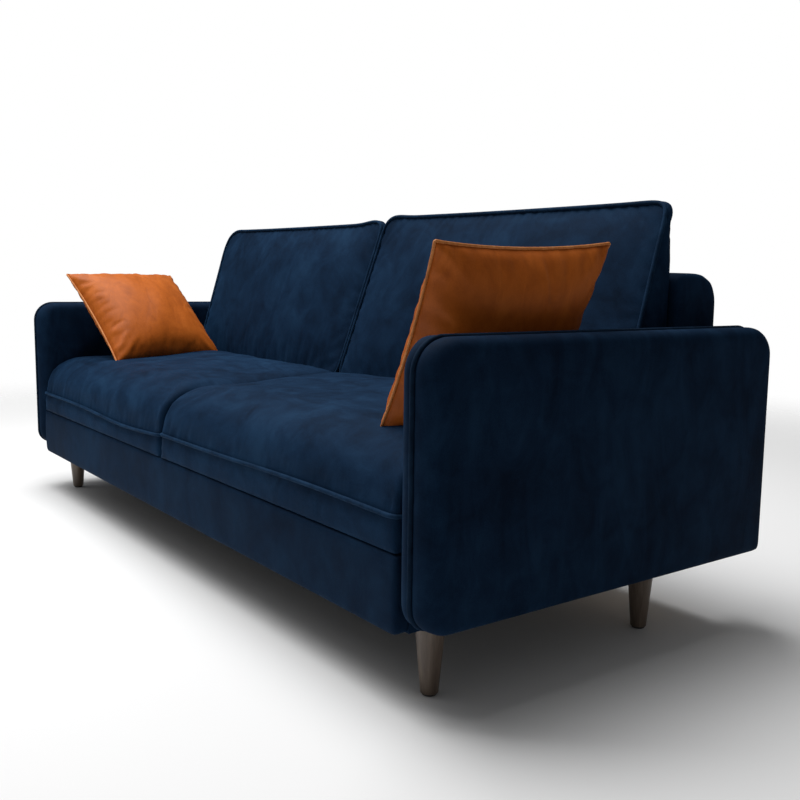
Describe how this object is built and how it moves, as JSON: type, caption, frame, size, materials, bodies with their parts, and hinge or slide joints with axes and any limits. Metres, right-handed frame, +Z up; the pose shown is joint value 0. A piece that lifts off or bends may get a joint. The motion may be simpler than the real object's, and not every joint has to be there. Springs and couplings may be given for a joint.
{
  "type": "sofa",
  "caption": "Navy velvet sofa with slim piped arms, loose seat and back cushions, orange throw pillows and tapered round wooden legs.",
  "frame": {"origin": "on the floor under the middle of the sofa", "axes": "+X to the right seen from the front, +Y to the rear, +Z up"},
  "size_m": [2.2, 0.9, 0.884],
  "materials": {
    "navy_velvet": "short-pile velvet, soft sheen",
    "navy_piping": "velvet-covered cord",
    "orange_velvet": "short-pile velvet with a satin sheen",
    "orange_piping": "velvet-covered cord",
    "foam": "open-cell foam or fibre filling",
    "panel_wood": "unfinished board",
    "frame_wood": "unfinished planed timber",
    "leg_wood": "dark brown stained, satin lacquer",
    "steel": "zinc-plated steel",
    "clip_plastic": "moulded nylon",
    "lining": "non-woven lining cloth",
    "webbing": "elastic upholstery webbing"
  },
  "bodies": {
    "root": {"arm_bolts": "steel", "arm_inner_padding_left": "navy_velvet", "arm_inner_padding_right": "navy_velvet", "arm_outer_padding_left": "navy_velvet", "arm_outer_padding_right": "navy_velvet", "arm_panel_left": "panel_wood", "arm_panel_right": "panel_wood", "arm_piping_left": "navy_piping", "arm_piping_right": "navy_piping", "backrest_bolts": "steel", "backrest_lower_rails": "frame_wood", "backrest_padding": "navy_velvet", "backrest_post_left": "frame_wood", "backrest_post_middle": "frame_wood", "backrest_post_right": "frame_wood", "backrest_rear_panel": "navy_velvet", "backrest_top_rail": "frame_wood", "backrest_webbing": "webbing", "centre_rail": "frame_wood", "corner_blocks": "frame_wood", "deck_cloth": "lining", "dust_cloth": "lining", "front_panel": "navy_velvet", "front_rail": "frame_wood", "hanger_bolts": "steel", "leg_centre": "leg_wood", "leg_front_left": "leg_wood", "leg_front_right": "leg_wood", "leg_glides": "clip_plastic", "leg_plates": "steel", "leg_rear_left": "leg_wood", "leg_rear_right": "leg_wood", "plate_screws": "steel", "rear_rail": "frame_wood", "seat_springs": "steel", "side_rail_left": "frame_wood", "side_rail_right": "frame_wood", "spring_clips": "clip_plastic"},
    "seat_cushion_left": {"seat_cover_left": "navy_velvet", "seat_foam_left": "foam", "seat_piping_left": "navy_piping"},
    "back_cushion_left": {"back_cover_left": "navy_velvet", "back_filling_left": "foam", "back_piping_left": "navy_piping"},
    "throw_pillow_left": {"pillow_cover_left": "orange_velvet", "pillow_insert_left": "foam", "pillow_piping_left": "orange_piping"},
    "seat_cushion_right": {"seat_cover_right": "navy_velvet", "seat_foam_right": "foam", "seat_piping_right": "navy_piping"},
    "back_cushion_right": {"back_cover_right": "navy_velvet", "back_filling_right": "foam", "back_piping_right": "navy_piping"},
    "throw_pillow_right": {"pillow_cover_right": "orange_velvet", "pillow_insert_right": "foam", "pillow_piping_right": "orange_piping"}
  },
  "joints": [
    {"name": "seat_cushion_left_lift", "type": "slide", "parent": "root", "child": "seat_cushion_left", "axis": [0, 0, 1], "range_m": [0, 0.45]},
    {"name": "back_cushion_left_lift", "type": "slide", "parent": "seat_cushion_left", "child": "back_cushion_left", "axis": [0, 0, 1], "range_m": [0, 0.5]},
    {"name": "throw_pillow_left_lift", "type": "slide", "parent": "seat_cushion_left", "child": "throw_pillow_left", "axis": [0, 0, 1], "range_m": [0, 0.4]},
    {"name": "seat_cushion_right_lift", "type": "slide", "parent": "root", "child": "seat_cushion_right", "axis": [0, 0, 1], "range_m": [0, 0.45]},
    {"name": "back_cushion_right_lift", "type": "slide", "parent": "seat_cushion_right", "child": "back_cushion_right", "axis": [0, 0, 1], "range_m": [0, 0.5]},
    {"name": "throw_pillow_right_lift", "type": "slide", "parent": "seat_cushion_right", "child": "throw_pillow_right", "axis": [0, 0, 1], "range_m": [0, 0.4]}
  ]
}
